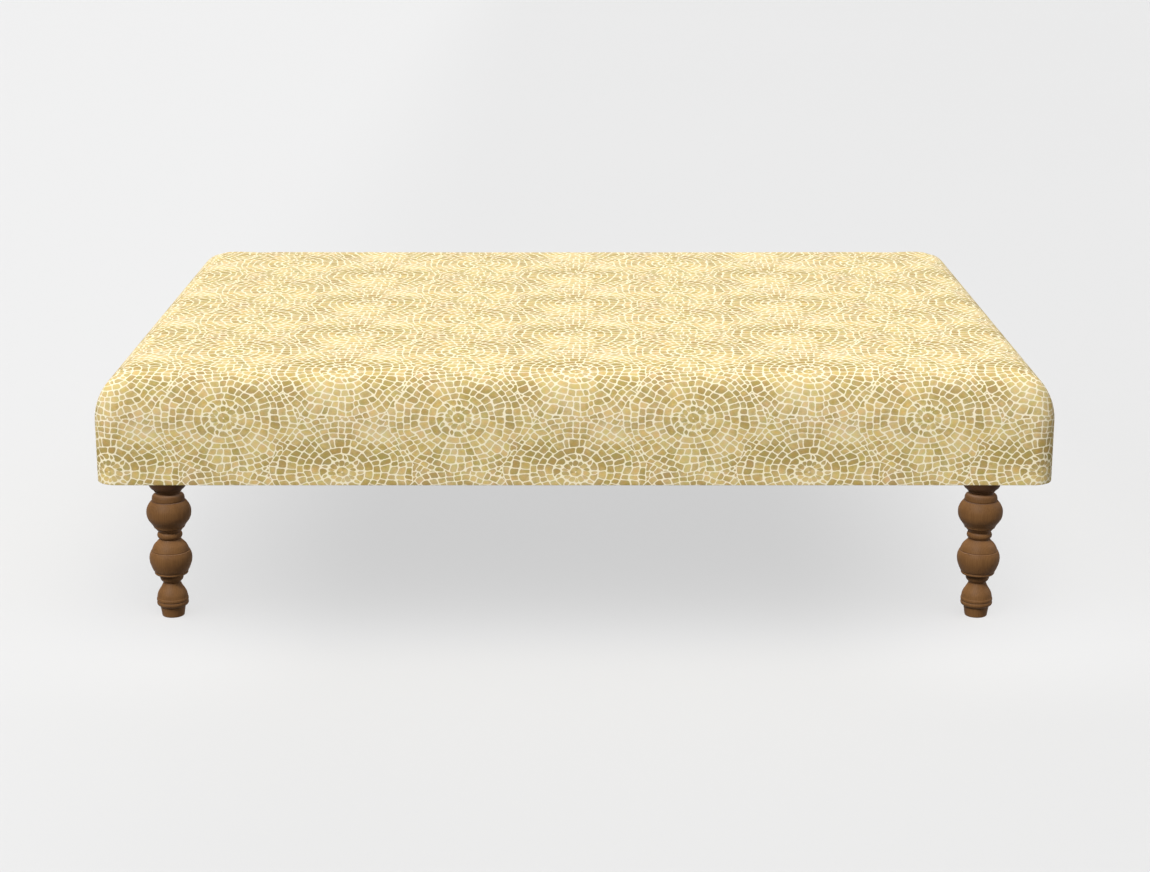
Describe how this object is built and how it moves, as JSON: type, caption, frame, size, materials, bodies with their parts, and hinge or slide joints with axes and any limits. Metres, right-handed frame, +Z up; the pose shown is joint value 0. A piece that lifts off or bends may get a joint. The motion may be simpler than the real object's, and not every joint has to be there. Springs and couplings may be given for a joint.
{
  "type": "footstool",
  "caption": "Low rectangular upholstered footstool: padded box with a soft rolled top edge, cloth cover and turned wooden legs.",
  "frame": {"origin": "centre of the stool's footprint, on the floor under the glides", "axes": "+X along the stool's length to its right, -Y towards its front, +Z up"},
  "size_m": [1.22, 0.915, 0.341],
  "materials": {
    "mosaic_cloth": "matte",
    "batting": "matte",
    "foam": "matte",
    "hessian": "matte",
    "webbing": "matte",
    "dust_cloth": "matte",
    "frame_wood": "matte",
    "dowel_wood": "matte",
    "screw_steel": "satin",
    "stained_wood": "satin",
    "glide_plastic": "satin"
  },
  "bodies": {
    "root": {"upholstery_cover": "mosaic_cloth", "batting_wrap": "batting", "foam_block": "foam", "hessian_sheet": "hessian", "webbing_lengthwise": "webbing", "webbing_crosswise": "webbing", "dust_cover": "dust_cloth", "front_rail": "frame_wood", "back_rail": "frame_wood", "left_rail": "frame_wood", "right_rail": "frame_wood", "centre_rail": "frame_wood", "corner_block_front_left": "frame_wood", "corner_block_front_right": "frame_wood", "corner_block_back_left": "frame_wood", "corner_block_back_right": "frame_wood", "rail_dowels": "dowel_wood", "corner_block_screws": "screw_steel", "leg_nuts": "screw_steel", "leg_bolts": "screw_steel", "front_legs": "stained_wood", "back_legs": "stained_wood", "foot_glides": "glide_plastic"}
  },
  "joints": []
}
